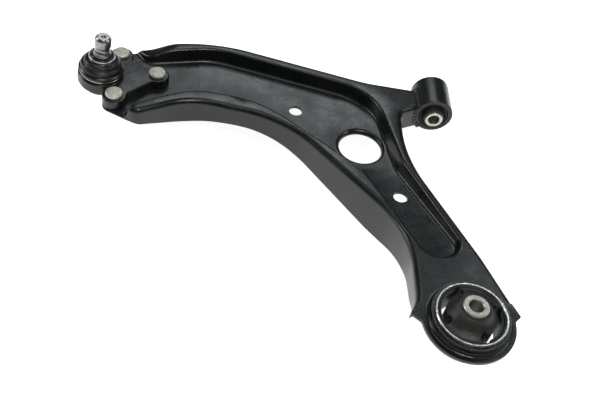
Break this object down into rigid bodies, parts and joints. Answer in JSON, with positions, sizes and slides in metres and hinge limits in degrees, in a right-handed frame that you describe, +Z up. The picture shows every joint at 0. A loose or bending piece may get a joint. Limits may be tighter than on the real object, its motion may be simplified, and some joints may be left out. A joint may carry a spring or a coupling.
{
  "type": "suspension control arm",
  "caption": "Left-hand lower suspension arm pressed from black-coated steel, with a riveted ball joint, a horizontal front bush and a vertical rear bush.",
  "frame": {"origin": "on the rear bush bolt axis, at the height where the pivot line through the front bush meets it", "axes": "+Z up, along the rear bush bolt; +Y along the pivot line from the rear bush to the front bush; the ball joint lies towards -X"},
  "size_m": [0.4316, 0.3802, 0.0888],
  "materials": {
    "black_coat_on_steel": "satin",
    "black_coat_on_weld": "matte",
    "black_forging": "satin",
    "bare_steel": "satin",
    "zinc_plated_steel": "satin",
    "ground_steel": "polished",
    "plated_rivet": "matte",
    "spring_wire": "satin",
    "bush_rubber": "matte",
    "boot_rubber": "satin",
    "seat_plastic": "satin"
  },
  "bodies": {
    "arm": {"arm_shell": "black_coat_on_steel", "front_bush_eye": "black_coat_on_steel", "eye_weld": "black_coat_on_weld", "front_bush_outer_sleeve": "bare_steel", "front_bush_rubber": "bush_rubber", "rear_bush_outer_ring": "bare_steel", "rear_bush_rubber": "bush_rubber", "ball_joint_housing": "black_forging", "ball_seat": "seat_plastic", "ball_joint_cover": "zinc_plated_steel", "dust_boot": "boot_rubber", "boot_lower_ring": "spring_wire", "rivets": "plated_rivet"},
    "front_sleeve": {"front_bush_inner_sleeve": "zinc_plated_steel"},
    "rear_sleeve": {"rear_bush_inner_sleeve": "zinc_plated_steel"},
    "boot_collar": {"boot_upper_ring": "spring_wire"},
    "stud": {"ball_stud": "ground_steel"}
  },
  "joints": [
    {"name": "front_bush_turn", "type": "hinge", "parent": "arm", "child": "front_sleeve", "pos_m": [0, 0.2905, 0], "axis": [0, 1, 0], "range_deg": [-20, 20], "stiffness_Nm_per_rad": 60, "deforming": ["front_bush_rubber"]},
    {"name": "rear_bush_tilt", "type": "hinge", "parent": "arm", "child": "rear_sleeve", "pos_m": [0, 0, 0.0055], "axis": [0, 1, 0], "range_deg": [-12, 12], "stiffness_Nm_per_rad": 60, "deforming": ["rear_bush_rubber"]},
    {"name": "ball_joint_tilt", "type": "hinge", "parent": "arm", "child": "boot_collar", "pos_m": [-0.3585, 0.272, 0.006], "axis": [0, 1, 0], "range_deg": [-20, 20], "deforming": ["dust_boot"]},
    {"name": "ball_joint_spin", "type": "hinge", "parent": "boot_collar", "child": "stud", "pos_m": [-0.3585, 0.272, 0.006], "axis": [0.0958, 0, 0.9954], "continuous": true}
  ]
}
